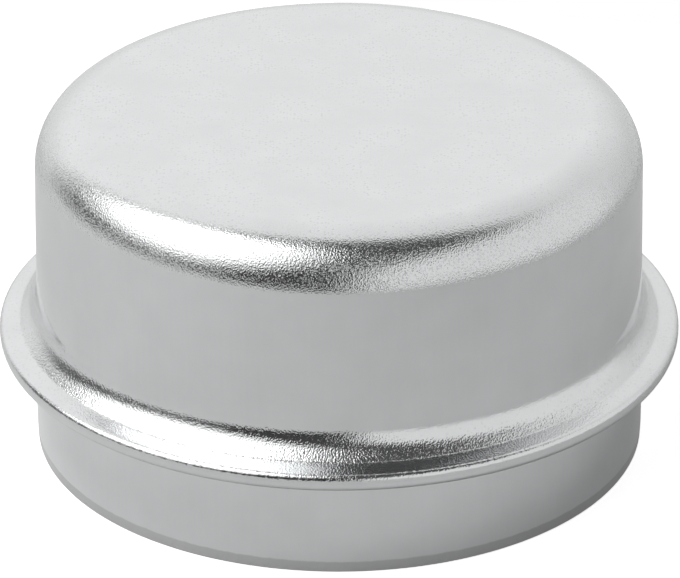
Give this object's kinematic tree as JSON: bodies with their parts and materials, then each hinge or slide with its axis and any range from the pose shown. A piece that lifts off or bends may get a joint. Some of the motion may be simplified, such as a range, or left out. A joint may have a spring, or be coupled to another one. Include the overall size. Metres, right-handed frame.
{
  "type": "hubcap",
  "caption": "Pressed steel hubcap that closes the bearing end of a trailer hub: a round cup with a folded flange and a skirt that is driven into the hub.",
  "frame": {"origin": "centre of the circle that the skirt's cut edge stands on", "axes": "+Z along the cap's axis, from the open mouth to the closed end; the cap is round, so X and Y are free"},
  "size_m": [0.0723, 0.0722, 0.037],
  "materials": {
    "zinc_plated_steel": "bright zinc plating, satin, with a fine even grain"
  },
  "bodies": {
    "root": {"hub_cap": "zinc_plated_steel"}
  },
  "joints": []
}
